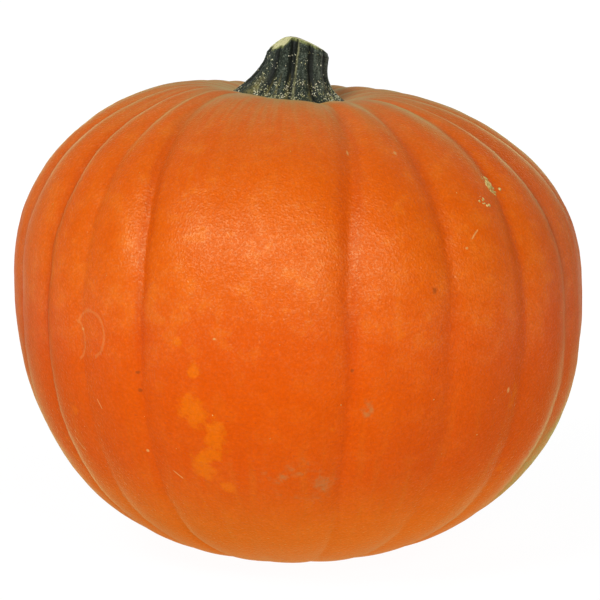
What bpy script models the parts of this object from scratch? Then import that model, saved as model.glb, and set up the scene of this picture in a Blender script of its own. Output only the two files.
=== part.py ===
"""A ripe carving pumpkin with its cut stem, standing on the flat spot at its base.

The fruit starts as a UV sphere. Each of its points moves onto a rounded body that has a
pit at the crown, a flat spot and a blossom-end scar at the base, and a crease between each
two ribs. The stem starts as a second UV sphere, drawn out into a furrowed stalk whose foot
flares and follows the pit.

Metres, +Z up. The front is -Y, and azimuths turn from the front towards +X. The origin is
on the floor under the middle of the pumpkin.
"""

import math

import bmesh
import bpy
from mathutils import Vector

# Fruit: the rounded body, measured from the middle of its belly.
BELLY_RADIUS = 0.1465
BELLY_DEPTH_RATIO = 0.97  # front to back, against side to side
CROWN_HEIGHT = 0.112
CROWN_EXPONENT = 2.45  # 2 is an ellipse, and more is squarer
CROWN_TILT = 0.023  # share of the crown's height that the +X side loses
BASE_DEPTH = 0.138
BASE_EXPONENT = 2.35
CROWN_SHIFT = Vector((-0.0045, 0.012, 0.0))
BASE_SHIFT = Vector((-0.003, 0.0175, 0.0))
BELLY_CENTRE = Vector((-0.0007, 0.0, 0.1352))  # in the part's frame, so the flat spot is at z = 0

# Places where the body grew less: azimuth and angle from the crown, then the depth and the spread.
FLATS = (
    ((90.0, 50.0), 0.0025, 30.0), ((-90.0, 125.0), 0.006, 30.0), ((90.0, 125.0), 0.001, 30.0),
    ((8.0, 18.0), 0.0042, 15.0), ((183.0, 18.0), 0.0036, 13.0),
)

# The pit at the crown and the scar at the base.
PIT_DEPTH = 0.018
PIT_RADIUS = 0.034
SCAR_DEPTH = 0.003
SCAR_RADIUS = 0.016

# Creases between the ribs: the azimuth of each, and its depth as a share of CREASE_DEPTH.
CREASES = (
    (-75.0, 0.9), (-58.0, 1.0), (-45.0, 0.6), (-30.5, 1.1), (-12.5, 0.4), (9.7, 1.2), (29.7, 0.85),
    (48.7, 0.85), (66.0, 0.85), (81.5, 0.8), (98.0, 1.0), (114.0, 0.7), (131.0, 1.1), (149.0, 0.9),
    (166.0, 1.0), (183.0, 0.6), (201.0, 1.1), (218.0, 0.8), (235.0, 1.0), (252.0, 0.9), (269.0, 1.0),
)
CREASE_DEPTH = 0.0038
CREASE_SHARPNESS = 2.8  # power of the fall from a rib's middle to its crease
CREASE_START = (12.0, 42.0)  # angles from the crown between which a crease deepens
CREASE_EASING = (60.0, 120.0)  # angles between which it becomes shallower
CREASE_LOWER_SHARE = 0.5
CREASE_END = (140.0, 166.0)  # angles between which it runs out

# Fruit mesh.
SEGMENTS_PER_RIB = 6
SEGMENT_CROWDING = 0.09  # draws a rib's segments towards its creases
FRUIT_RINGS = 32
RING_CROWDING = 0.42  # draws the rings towards the crown and the base

# Stem.
STEM_TOP = 0.266
STEM_TOP_RADIUS = 0.0152
STEM_LEAN = Vector((0.0045, -0.003, 0.0))
FOOT_RADIUS = 0.028
FOOT_LOBES = 5
FOOT_LOBE_SHARE = 0.05
FLARE_POWER = 2.2
FLARE_POWER_SIDE = 0.8  # the flare is tighter towards +X and looser towards -X
FURROWS = 10
FURROW_DEPTH = 0.0017
FURROW_SHARPNESS = 2.5
FURROW_TWIST = 8.0  # degrees from the foot to the cut
CUT_FALL = 0.008  # how far the cut drops from its ridge to each side
STEM_GAP = 0.0004  # between the stem's foot and the pit

# Stem mesh: the parts of the starting sphere, as shares from its top pole to its bottom pole.
STEM_SEGMENTS = 60
STEM_RINGS = 22
CUT_SHARE = 0.18
WALL_SHARE = 0.76

RIND_COLOUR = (0.80, 0.13, 0.006, 1.0)
STALK_COLOUR = (0.026, 0.036, 0.021, 1.0)
SHARP_ANGLE = 45.0


def smooth_step(value, start, end):
    """Rise smoothly from 0 at start to 1 at end."""
    share = min(max((value - start) / (end - start), 0.0), 1.0)
    return share * share * (3.0 - 2.0 * share)


def flat_depth(colatitude, azimuth):
    """Depth of the flats at a place on the body, both angles in radians."""
    depth = 0.0
    for (flat_azimuth, flat_colatitude), flat, spread in FLATS:
        middle = math.radians(flat_colatitude)
        turn = azimuth - math.radians(flat_azimuth)
        cosine = math.cos(colatitude) * math.cos(middle)
        cosine += math.sin(colatitude) * math.sin(middle) * math.cos(turn)
        away = math.degrees(math.acos(min(max(cosine, -1.0), 1.0)))
        depth += flat * math.exp(-((away / spread) ** 2))
    return depth


def body_point(colatitude, azimuth, crease=0.0):
    """Place on the fruit at an angle from the crown and an azimuth, sunk by the crease's depth."""
    sine, cosine = math.sin(colatitude), math.cos(colatitude)
    if cosine > 0.0:
        height = CROWN_HEIGHT * (1.0 - CROWN_TILT * math.sin(azimuth))
        power = CROWN_EXPONENT
    else:
        height, power = BASE_DEPTH, BASE_EXPONENT
    reach = ((abs(sine) / BELLY_RADIUS) ** power + (abs(cosine) / height) ** power) ** (-1.0 / power)
    reach -= flat_depth(colatitude, azimuth) + crease
    radius, rise = reach * sine, reach * cosine
    crown = max(rise / CROWN_HEIGHT, 0.0) ** 2
    base = max(-rise / BASE_DEPTH, 0.0) ** 2
    if cosine > 0.0:
        rise -= PIT_DEPTH * math.exp(-((radius / PIT_RADIUS) ** 2))
    rise = max(rise, -BELLY_CENTRE.z)
    if cosine < 0.0 and radius < SCAR_RADIUS:
        rise += SCAR_DEPTH * (1.0 - (radius / SCAR_RADIUS) ** 2) ** 2
    across = Vector((math.sin(azimuth), -math.cos(azimuth) * BELLY_DEPTH_RATIO, 0.0))
    return BELLY_CENTRE + across * radius + CROWN_SHIFT * crown + BASE_SHIFT * base + Vector((0, 0, rise))


def crease_depth(colatitude):
    """Depth of a full crease at an angle from the crown."""
    angle = math.degrees(colatitude)
    easing = 1.0 - (1.0 - CREASE_LOWER_SHARE) * smooth_step(angle, *CREASE_EASING)
    ends = smooth_step(angle, *CREASE_START) * (1.0 - smooth_step(angle, *CREASE_END))
    return CREASE_DEPTH * easing * ends


def rib_azimuth(turn):
    """Turn a share of the way round into an azimuth and the share of a full crease there."""
    place = turn * len(CREASES)
    rib = int(place) % len(CREASES)
    across = place - int(place)
    across -= SEGMENT_CROWDING * math.sin(2.0 * math.pi * across)
    left, left_share = CREASES[rib]
    right, right_share = CREASES[(rib + 1) % len(CREASES)]
    if right < left:
        right += 360.0
    share = left_share if across < 0.5 else right_share
    return math.radians(left + (right - left) * across), share * abs(2.0 * across - 1.0) ** CREASE_SHARPNESS


def sphere_mesh(name, segments, rings, place):
    """UV sphere whose points are moved by place(angle from the top, share of the way round)."""
    mesh = bpy.data.meshes.new(name)
    shape = bmesh.new()
    bmesh.ops.create_uvsphere(shape, u_segments=segments, v_segments=rings, radius=1.0)
    for vert in shape.verts:
        colatitude = math.acos(min(max(vert.co.z, -1.0), 1.0))
        turn = (math.atan2(vert.co.x, -vert.co.y) / (2.0 * math.pi)) % 1.0
        vert.co = place(colatitude, turn)
    bmesh.ops.recalc_face_normals(shape, faces=shape.faces)
    shape.to_mesh(mesh)
    shape.free()
    mesh.shade_smooth()
    mesh.set_sharp_from_angle(angle=math.radians(SHARP_ANGLE))
    return mesh


def fruit_place(colatitude, turn):
    """Place of a point of the starting sphere on the ribbed fruit."""
    colatitude -= RING_CROWDING * 0.5 * math.sin(2.0 * colatitude)
    azimuth, share = rib_azimuth(turn)
    return body_point(colatitude, azimuth, crease_depth(colatitude) * share)


def pit_point(radius, azimuth):
    """Place on the pit's surface at a distance from its middle, raised by the gap."""
    near, far = 0.0, 0.5
    for _ in range(40):
        colatitude = (near + far) / 2.0
        point = body_point(colatitude, azimuth)
        away = (point - BELLY_CENTRE - CROWN_SHIFT).to_2d().length
        if away < radius:
            near = colatitude
        else:
            far = colatitude
    return point + Vector((0.0, 0.0, STEM_GAP))


def foot_radius(azimuth):
    """Distance from the stem's middle to the rim of its foot."""
    return FOOT_RADIUS * (1.0 + FOOT_LOBE_SHARE * math.cos(FOOT_LOBES * azimuth))


def furrow(azimuth, height):
    """Depth of the furrows at a share of the way up the stem."""
    angle = azimuth + math.radians(FURROW_TWIST) * height
    groove = ((1.0 + math.cos(FURROWS * angle)) / 2.0) ** FURROW_SHARPNESS
    return FURROW_DEPTH * groove * smooth_step(height, 0.0, 0.3)


def cut_point(share, azimuth):
    """Place on the cut face, from its middle at share 0 to its rim at share 1."""
    radius = (STEM_TOP_RADIUS - furrow(azimuth, 1.0)) * share
    middle = BELLY_CENTRE + CROWN_SHIFT + STEM_LEAN
    across = radius * math.sin(azimuth)
    fall = CUT_FALL * (across / STEM_TOP_RADIUS) ** 2
    return Vector((middle.x + across, middle.y - radius * math.cos(azimuth), STEM_TOP - fall))


def wall_point(height, azimuth):
    """Place on the stem's wall, from the rim of the foot at height 0 to the cut at height 1."""
    foot = pit_point(foot_radius(azimuth), azimuth)
    top = cut_point(1.0, azimuth)
    power = FLARE_POWER + FLARE_POWER_SIDE * math.sin(azimuth)
    flare = (foot_radius(azimuth) - STEM_TOP_RADIUS) * (1.0 - height) ** power
    radius = STEM_TOP_RADIUS + flare - furrow(azimuth, height)
    middle = BELLY_CENTRE + CROWN_SHIFT + STEM_LEAN * height
    place = middle + Vector((math.sin(azimuth), -math.cos(azimuth), 0.0)) * radius
    place.z = foot.z + (top.z - foot.z) * height
    return foot if height <= 0.0 else place


def stem_place(colatitude, turn):
    """Place of a point of the starting sphere on the stem."""
    share = colatitude / math.pi
    azimuth = turn * 2.0 * math.pi
    if share <= CUT_SHARE:
        return cut_point(share / CUT_SHARE, azimuth)
    if share <= WALL_SHARE:
        return wall_point((WALL_SHARE - share) / (WALL_SHARE - CUT_SHARE), azimuth)
    return pit_point(foot_radius(azimuth) * (1.0 - share) / (1.0 - WALL_SHARE), azimuth)


def make_material(name, colour, roughness):
    """Principled material of one colour."""
    material = bpy.data.materials.new(name)
    material.use_nodes = True
    shader = material.node_tree.nodes["Principled BSDF"]
    shader.inputs["Base Color"].default_value = colour
    shader.inputs["Roughness"].default_value = roughness
    shader.inputs["Metallic"].default_value = 0.0
    return material


def add_piece(name, mesh, material, collection):
    """Object for one piece, in the pumpkin's collection."""
    piece = bpy.data.objects.new(name, mesh)
    mesh.materials.append(material)
    collection.objects.link(piece)
    return piece


def main():
    """Clear the scene and build the pumpkin."""
    for old in list(bpy.data.objects):
        bpy.data.objects.remove(old, do_unlink=True)
    pumpkin = bpy.data.collections.new("pumpkin")
    bpy.context.scene.collection.children.link(pumpkin)
    fruit = sphere_mesh("fruit", SEGMENTS_PER_RIB * len(CREASES), FRUIT_RINGS, fruit_place)
    add_piece("fruit", fruit, make_material("rind", RIND_COLOUR, 0.4), pumpkin)
    stem = sphere_mesh("stem", STEM_SEGMENTS, STEM_RINGS, stem_place)
    add_piece("stem", stem, make_material("stalk", STALK_COLOUR, 0.7), pumpkin)


main()
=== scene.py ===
"""Looks of a ripe carving pumpkin with its cut stem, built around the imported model.

The fruit and the stem are shaped by Geometry Nodes: each tree starts from a UV sphere and
moves its points by a rule with named sizes. Corky specks and scabs are scattered over both.
Every finish is procedural.

Metres, +Z up. The front is -Y, and azimuths turn from the front towards +X. A colatitude is
an angle from the crown, so 0 is under the stem and 180 is the middle of the base.
"""

import logging
import math
from dataclasses import dataclass, field
from typing import Any, Optional, Sequence, Union

import bpy
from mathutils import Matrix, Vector


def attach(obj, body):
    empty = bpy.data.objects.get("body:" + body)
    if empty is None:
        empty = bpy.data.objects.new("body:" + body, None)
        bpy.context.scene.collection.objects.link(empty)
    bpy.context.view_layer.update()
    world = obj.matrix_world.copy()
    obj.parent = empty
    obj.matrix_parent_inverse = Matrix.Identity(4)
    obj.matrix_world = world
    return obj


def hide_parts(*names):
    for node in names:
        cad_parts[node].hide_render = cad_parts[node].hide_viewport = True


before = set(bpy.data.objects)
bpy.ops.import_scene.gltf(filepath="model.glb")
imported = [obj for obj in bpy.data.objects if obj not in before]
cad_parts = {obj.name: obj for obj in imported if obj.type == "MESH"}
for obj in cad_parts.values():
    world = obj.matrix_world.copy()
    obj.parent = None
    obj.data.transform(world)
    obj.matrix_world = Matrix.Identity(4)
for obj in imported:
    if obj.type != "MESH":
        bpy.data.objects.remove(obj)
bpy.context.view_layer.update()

BODY = "root"
TURN = 2.0 * math.pi

logging.basicConfig(level=logging.INFO, format="%(levelname)s %(message)s")
log = logging.getLogger("pumpkin")

Colour = tuple[float, float, float]
Number = Union["Value", float]


# --- Node writing -------------------------------------------------------------------------


class Value:
    """A number or vector in a node tree, which takes part in arithmetic on numbers."""

    def __init__(self, tree: bpy.types.NodeTree, socket: bpy.types.NodeSocket) -> None:
        """Hold a tree and one of its output sockets."""
        self.tree = tree
        self.socket = socket

    def math(self, operation: str, *others: Number) -> "Value":
        """Add a Math node.

        Args:
            operation: The node's operation.
            *others: The operands after this one.

        Returns:
            The node's result.
        """
        node = self.tree.nodes.new("ShaderNodeMath")
        node.operation = operation
        for slot, operand in zip(node.inputs, (self, *others)):
            feed(self.tree, slot, operand)
        return Value(self.tree, node.outputs[0])

    def __add__(self, other: Number) -> "Value":
        """Sum."""
        return self.math("ADD", other)

    __radd__ = __add__

    def __sub__(self, other: Number) -> "Value":
        """Difference."""
        return self.math("SUBTRACT", other)

    def __rsub__(self, other: float) -> "Value":
        """Difference from a plain number."""
        return (self * -1.0) + other

    def __mul__(self, other: Number) -> "Value":
        """Product."""
        return self.math("MULTIPLY", other)

    __rmul__ = __mul__

    def __truediv__(self, other: Number) -> "Value":
        """Quotient."""
        return self.math("DIVIDE", other)

    def __pow__(self, other: Number) -> "Value":
        """Power."""
        return self.math("POWER", other)

    def sine(self) -> "Value":
        """Sine of an angle in radians."""
        return self.math("SINE")

    def cosine(self) -> "Value":
        """Cosine of an angle in radians."""
        return self.math("COSINE")

    def size(self) -> "Value":
        """Absolute value."""
        return self.math("ABSOLUTE")

    def bell(self, spread: Number) -> "Value":
        """Bell curve of this value: 1 at 0, fading over the spread."""
        share = self / spread
        return (share * share * -1.0).math("EXPONENT")

    def clamped(self) -> "Value":
        """Value held between 0 and 1."""
        return self.math("MAXIMUM", 0.0).math("MINIMUM", 1.0)

    def smooth(self, start: Number, end: Number) -> "Value":
        """Rise smoothly from 0 at start to 1 at end, or fall where start is the larger.

        Args:
            start: Value where the result is 0.
            end: Value where the result is 1.

        Returns:
            The smooth step.
        """
        node = self.tree.nodes.new("ShaderNodeMapRange")
        node.interpolation_type = "SMOOTHSTEP"
        feed(self.tree, node.inputs["Value"], self)
        feed(self.tree, node.inputs["From Min"], start)
        feed(self.tree, node.inputs["From Max"], end)
        return Value(self.tree, node.outputs["Result"])

    def between(self, start: float, end: float) -> "Value":
        """Smooth step of an angle from 0 at the start to 1 at the end, both in degrees."""
        return self.smooth(math.radians(start), math.radians(end))

    def toward(self, other: Number, share: Number) -> "Value":
        """Mix with another number: this one at share 0, the other at share 1."""
        return self + (other - self) * share


def feed(tree: bpy.types.NodeTree, slot: bpy.types.NodeSocket, content: Any) -> None:
    """Link a value to an input socket, or set the socket's own value.

    Args:
        tree: The tree that the socket is in.
        slot: The input socket.
        content: A value or an output socket to link, or plain content to set.
    """
    if isinstance(content, Value):
        tree.links.new(content.socket, slot)
    elif isinstance(content, bpy.types.NodeSocket):
        tree.links.new(content, slot)
    else:
        slot.default_value = content


class Pen:
    """Writes nodes into one tree, for a shape or for a material."""

    def __init__(self, tree: bpy.types.NodeTree) -> None:
        """Hold the tree."""
        self.tree = tree

    def node(
        self, kind: str, settings: Optional[dict[str, Any]] = None, **inputs: Any
    ) -> bpy.types.Node:
        """Add a node.

        Args:
            kind: The node's type.
            settings: The node's own properties.
            **inputs: Contents of its inputs, named with _ in place of spaces.

        Returns:
            The node.
        """
        node = self.tree.nodes.new(kind)
        for name, content in (settings or {}).items():
            setattr(node, name, content)
        for name, content in inputs.items():
            feed(self.tree, node.inputs[name.replace("_", " ")], content)
        return node

    def value(self, socket: bpy.types.NodeSocket) -> Value:
        """Value that reads an output socket."""
        return Value(self.tree, socket)

    def vector(self, x: Number, y: Number, z: Number) -> Value:
        """Vector of three numbers."""
        return self.value(self.node("ShaderNodeCombineXYZ", X=x, Y=y, Z=z).outputs[0])

    def split(self, vector: Value) -> tuple[Value, Value, Value]:
        """X, Y and Z of a vector."""
        parts = self.node("ShaderNodeSeparateXYZ", Vector=vector).outputs
        return self.value(parts[0]), self.value(parts[1]), self.value(parts[2])

    def vectors(self, operation: str, first: Any, second: Any, output: int = 0) -> Value:
        """Vector Math node of two vectors.

        Args:
            operation: The node's operation.
            first: The first vector.
            second: The second vector, or a number for SCALE.
            output: 0 for a vector result, 1 for a number.

        Returns:
            The node's result.
        """
        node = self.node("ShaderNodeVectorMath", {"operation": operation})
        feed(self.tree, node.inputs[0], first)
        feed(self.tree, node.inputs["Scale"] if operation == "SCALE" else node.inputs[1], second)
        return self.value(node.outputs[output])

    def noise(self, place: Value, scale: float, detail: float = 2.0, rough: float = 0.5) -> Value:
        """Noise between 0 and 1, in waves per unit, with finer layers and their strength."""
        settings = {"Scale": scale, "Detail": detail, "Roughness": rough}
        return self.value(self.node("ShaderNodeTexNoise", Vector=place, **settings).outputs[0])

    def cells(self, place: Value, scale: float) -> Value:
        """Distance to the middle of the nearest cell of an uneven pattern."""
        node = self.node("ShaderNodeTexVoronoi", Vector=place, Scale=scale)
        return self.value(node.outputs["Distance"])


class ShapeTree(Pen):
    """Geometry Nodes tree with named inputs, whose result becomes a plain mesh."""

    def __init__(self, name: str) -> None:
        """Start an empty tree.

        Args:
            name: Name of the tree.
        """
        super().__init__(bpy.data.node_groups.new(name, "GeometryNodeTree"))
        self.entry = self.tree.nodes.new("NodeGroupInput")
        self.leave = self.tree.nodes.new("NodeGroupOutput")
        sockets = self.tree.interface
        sockets.new_socket("Geometry", in_out="OUTPUT", socket_type="NodeSocketGeometry")
        self.contents: dict[str, Any] = {}

    def input(self, name: str, content: Any) -> Value:
        """Add a named input: a whole number, a number or an object.

        Args:
            name: The input's name.
            content: What the modifier gives it.

        Returns:
            The input as a value.
        """
        kinds = {int: "Int", float: "Float", bpy.types.Object: "Object"}
        kind = "NodeSocket" + kinds[type(content)]
        socket = self.tree.interface.new_socket(name, in_out="INPUT", socket_type=kind)
        self.contents[socket.identifier] = content
        return self.value(self.entry.outputs[name])

    def place(self) -> Value:
        """Position of the point."""
        return self.value(self.node("GeometryNodeInputPosition").outputs[0])

    def look_up(self, number: Value, entries: Sequence[float]) -> Value:
        """Entry of a list of numbers.

        Args:
            number: Which entry, counted from 0.
            entries: The list.

        Returns:
            The entry.
        """
        node = self.node("GeometryNodeIndexSwitch", {"data_type": "FLOAT"})
        while len(node.index_switch_items) < len(entries):
            node.index_switch_items.new()
        whole = self.node("FunctionNodeFloatToInt", {"rounding_mode": "FLOOR"}, Float=number)
        feed(self.tree, node.inputs[0], whole.outputs[0])
        for slot, entry in zip(node.inputs[1:], entries):
            slot.default_value = entry
        return self.value(node.outputs[0])

    def sphere(self, segments: Value, rings: Value) -> tuple[Any, Value, Value]:
        """UV sphere to be moved into a shape.

        Args:
            segments: Segments round it.
            rings: Rings from pole to pole.

        Returns:
            The sphere, the share from the top pole to the bottom pole, and the share of a turn.
        """
        ball = self.node("GeometryNodeMeshUVSphere", Segments=segments, Rings=rings, Radius=1.0)
        x, y, z = self.split(self.place())
        down = z.math("MAXIMUM", -1.0).math("MINIMUM", 1.0).math("ARCCOSINE") / math.pi
        turn = (x.math("ARCTAN2", y * -1.0) / TURN + 1.0).math("FRACT")
        return ball.outputs[0], down, turn

    def store(self, geometry: Any, name: str, content: Value) -> Any:
        """Keep a number on each point.

        Args:
            geometry: The geometry.
            name: The name that materials read it by.
            content: The number.

        Returns:
            The geometry with the number.
        """
        settings = {"data_type": "FLOAT", "domain": "POINT"}
        inputs = {"Geometry": geometry, "Name": name, "Value": content}
        return self.node("GeometryNodeStoreNamedAttribute", settings, **inputs).outputs[0]

    def moved(self, geometry: Any, place: Value) -> Any:
        """Geometry with its points at new places."""
        return self.node("GeometryNodeSetPosition", Geometry=geometry, Position=place).outputs[0]

    def raised(self, geometry: Any, height: Number) -> Any:
        """Raise points along their normals.

        Args:
            geometry: The geometry.
            height: How far each point is raised.

        Returns:
            The raised geometry.
        """
        normal = self.value(self.node("GeometryNodeInputNormal").outputs[0])
        shift = self.vectors("SCALE", normal, height)
        return self.node("GeometryNodeSetPosition", Geometry=geometry, Offset=shift).outputs[0]

    def surface(self, name: str, thing: bpy.types.Object) -> Any:
        """Mesh of a finished piece, as a named input."""
        info = self.node("GeometryNodeObjectInfo", Object=self.input(name, thing))
        return info.outputs["Geometry"]

    def ground(self, surface: Any, place: Value) -> Value:
        """Find the place straight below a point.

        Args:
            surface: The surface that is looked for.
            place: The point.

        Returns:
            The place on the surface.
        """
        ray = {"Source_Position": place, "Ray_Direction": (0.0, 0.0, -1.0), "Ray_Length": 1.0}
        hit = self.node(
            "GeometryNodeRaycast", {"data_type": "FLOAT"}, Target_Geometry=surface, **ray
        )
        return self.value(hit.outputs["Hit Position"])

    def random(self, low: Number, high: Number, seed: int) -> Value:
        """Random number of each point.

        Args:
            low: The smallest number.
            high: The largest number.
            seed: Seed of the numbers.

        Returns:
            The number.
        """
        node = self.node("FunctionNodeRandomValue", {"data_type": "FLOAT"}, Seed=seed)
        feed(self.tree, node.inputs[2], low)
        feed(self.tree, node.inputs[3], high)
        return self.value(node.outputs[1])

    def scatter(
        self, surface: Any, density: Number, seed: int, sizes: tuple[float, float], flatness: float
    ) -> Any:
        """Strew small grains over a surface.

        Args:
            surface: Mesh they sit on.
            density: Grains per square metre.
            seed: Seed of the strewing.
            sizes: Smallest and largest radius.
            flatness: Height of a grain as a share of its width.

        Returns:
            The grains.
        """
        strewn = {"Mesh": surface, "Density": density, "Seed": seed}
        points = self.node("GeometryNodeDistributePointsOnFaces", **strewn)
        grain = self.node("GeometryNodeMeshIcoSphere", Radius=1.0, Subdivisions=1)
        size = self.random(sizes[0], sizes[1], seed + 1)
        stretch = size * self.random(0.7, 1.5, seed + 2)
        scale = self.vector(size, stretch, size * flatness)
        links = {name: points.outputs[name] for name in ("Points", "Rotation")}
        links.update(Instance=grain.outputs[0], Scale=scale)
        return self.node("GeometryNodeInstanceOnPoints", **links).outputs[0]

    def piece(self, name: str, geometry: Any, material: bpy.types.Material) -> bpy.types.Object:
        """Finish the tree and turn its result into a plain mesh.

        Args:
            name: Name of the piece.
            geometry: The tree's last geometry.
            material: Material of the piece.

        Returns:
            The piece, at the origin, with no modifier.
        """
        real = self.node("GeometryNodeRealizeInstances", Geometry=geometry)
        dressed = self.node("GeometryNodeSetMaterial", Geometry=real.outputs[0], Material=material)
        self.tree.links.new(dressed.outputs[0], self.leave.inputs[0])
        piece = bpy.data.objects.new(name, bpy.data.meshes.new(name + "_start"))
        bpy.context.scene.collection.objects.link(piece)
        modifier = piece.modifiers.new("shape", "NODES")
        modifier.node_group = self.tree
        for identifier, content in self.contents.items():
            modifier[identifier] = content
        graph = bpy.context.evaluated_depsgraph_get()
        mesh = bpy.data.meshes.new_from_object(
            piece.evaluated_get(graph), preserve_all_data_layers=True, depsgraph=graph
        )
        piece.modifiers.remove(modifier)
        start, piece.data = piece.data, mesh
        bpy.data.meshes.remove(start)
        mesh.name = name
        mesh.shade_smooth()
        return piece


class Paint(Pen):
    """Writes one material: a Principled shader whose colour is laid on in coats."""

    def __init__(self, name: str, ground: Colour) -> None:
        """Start a material.

        Args:
            name: Name of the material.
            ground: The colour under all coats.
        """
        self.material = bpy.data.materials.new(name)
        self.material.use_nodes = True
        super().__init__(self.material.node_tree)
        self.shader = self.tree.nodes["Principled BSDF"]
        self.colour: Any = (*ground, 1.0)
        self.height: Number = 0.0
        self.place = self.value(self.node("ShaderNodeTexCoord").outputs["Object"])

    def read(self, name: str) -> Value:
        """Number kept on the mesh under a name."""
        return self.value(self.node("ShaderNodeAttribute", {"attribute_name": name}).outputs["Fac"])

    def coat(self, colour: Colour, share: Number) -> None:
        """Lay a colour over the colours so far, with a share between 0 and 1."""
        self.blend("MIX", (*colour, 1.0), share)

    def coats(self, *coats: tuple[Colour, Number]) -> None:
        """Lay several colours, each with its share, one over the other."""
        for colour, share in coats:
            self.coat(colour, share)

    def shade(self, factor: Value) -> None:
        """Make the colours so far darker or lighter by a factor."""
        self.blend("MULTIPLY", self.vector(factor, factor, factor), 1.0)

    def blend(self, way: str, colour: Any, share: Number) -> None:
        """Blend a colour with the colours so far.

        Args:
            way: The blend type.
            colour: The colour.
            share: How much of the blend is used.
        """
        node = self.node("ShaderNodeMix", {"data_type": "RGBA", "blend_type": way})
        for slot, content in ((0, share), (6, self.colour), (7, colour)):
            feed(self.tree, node.inputs[slot], content)
        self.colour = node.outputs[2]

    def relief(self, height: Value) -> None:
        """Add a height in metres to the fine relief."""
        self.height = height + self.height

    def finished(self, roughness: Number, **settings: Any) -> bpy.types.Material:
        """Feed the shader.

        Args:
            roughness: Roughness of the surface.
            **settings: Other shader inputs, named with _ in place of spaces.

        Returns:
            The material.
        """
        feed(self.tree, self.shader.inputs["Base Color"], self.colour)
        feed(self.tree, self.shader.inputs["Roughness"], roughness)
        if isinstance(self.height, Value):
            bump = self.node("ShaderNodeBump", Strength=1.0, Distance=1.0, Height=self.height)
            feed(self.tree, self.shader.inputs["Normal"], bump.outputs[0])
        for name, content in settings.items():
            feed(self.tree, self.shader.inputs[name.replace("_", " ")], content)
        return self.material


def settle(piece: bpy.types.Object) -> None:
    """Give a finished piece its body, and report it.

    Args:
        piece: The piece.
    """
    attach(piece, BODY)
    log.info("%s: %d faces", piece.name, len(piece.data.polygons))


# --- Fruit --------------------------------------------------------------------------------


@dataclass(frozen=True)
class Crease:
    """Valley between two ribs, with its azimuth and its drift at the crown in degrees."""

    azimuth: float
    depth: float = 1.0
    drift: float = 0.0
    roundness: float = 0.10


@dataclass(frozen=True)
class Flat:
    """Place where the body grew less: azimuth, colatitude and spread in degrees, and depth."""

    azimuth: float
    colatitude: float
    depth: float
    spread: float = 30.0


CREASES = (
    Crease(-75.0, 0.9, 0.0, 0.05), Crease(-58.0, 1.0, 0.0, 0.05), Crease(-45.0, 0.6),
    Crease(-30.5, 1.1, -6.0, 0.03), Crease(-12.5, 0.4), Crease(9.7, 1.2, 8.0, 0.03),
    Crease(29.7, 0.85, 2.0, 0.12), Crease(48.7, 0.85, 4.0, 0.12), Crease(66.0, 0.85, -4.0, 0.16),
    Crease(81.5, 0.8), Crease(98.0, 1.0), Crease(114.0, 0.7), Crease(131.0, 1.1),
    Crease(149.0, 0.9), Crease(166.0, 1.0), Crease(183.0, 0.6), Crease(201.0, 1.1),
    Crease(218.0, 0.8), Crease(235.0, 1.0), Crease(252.0, 0.9), Crease(269.0, 1.0),
)
FLATS = (
    Flat(90.0, 50.0, 0.0025), Flat(-90.0, 125.0, 0.006), Flat(90.0, 125.0, 0.001),
    Flat(8.0, 18.0, 0.0042, 15.0), Flat(183.0, 18.0, 0.0036, 13.0),
)


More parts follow.
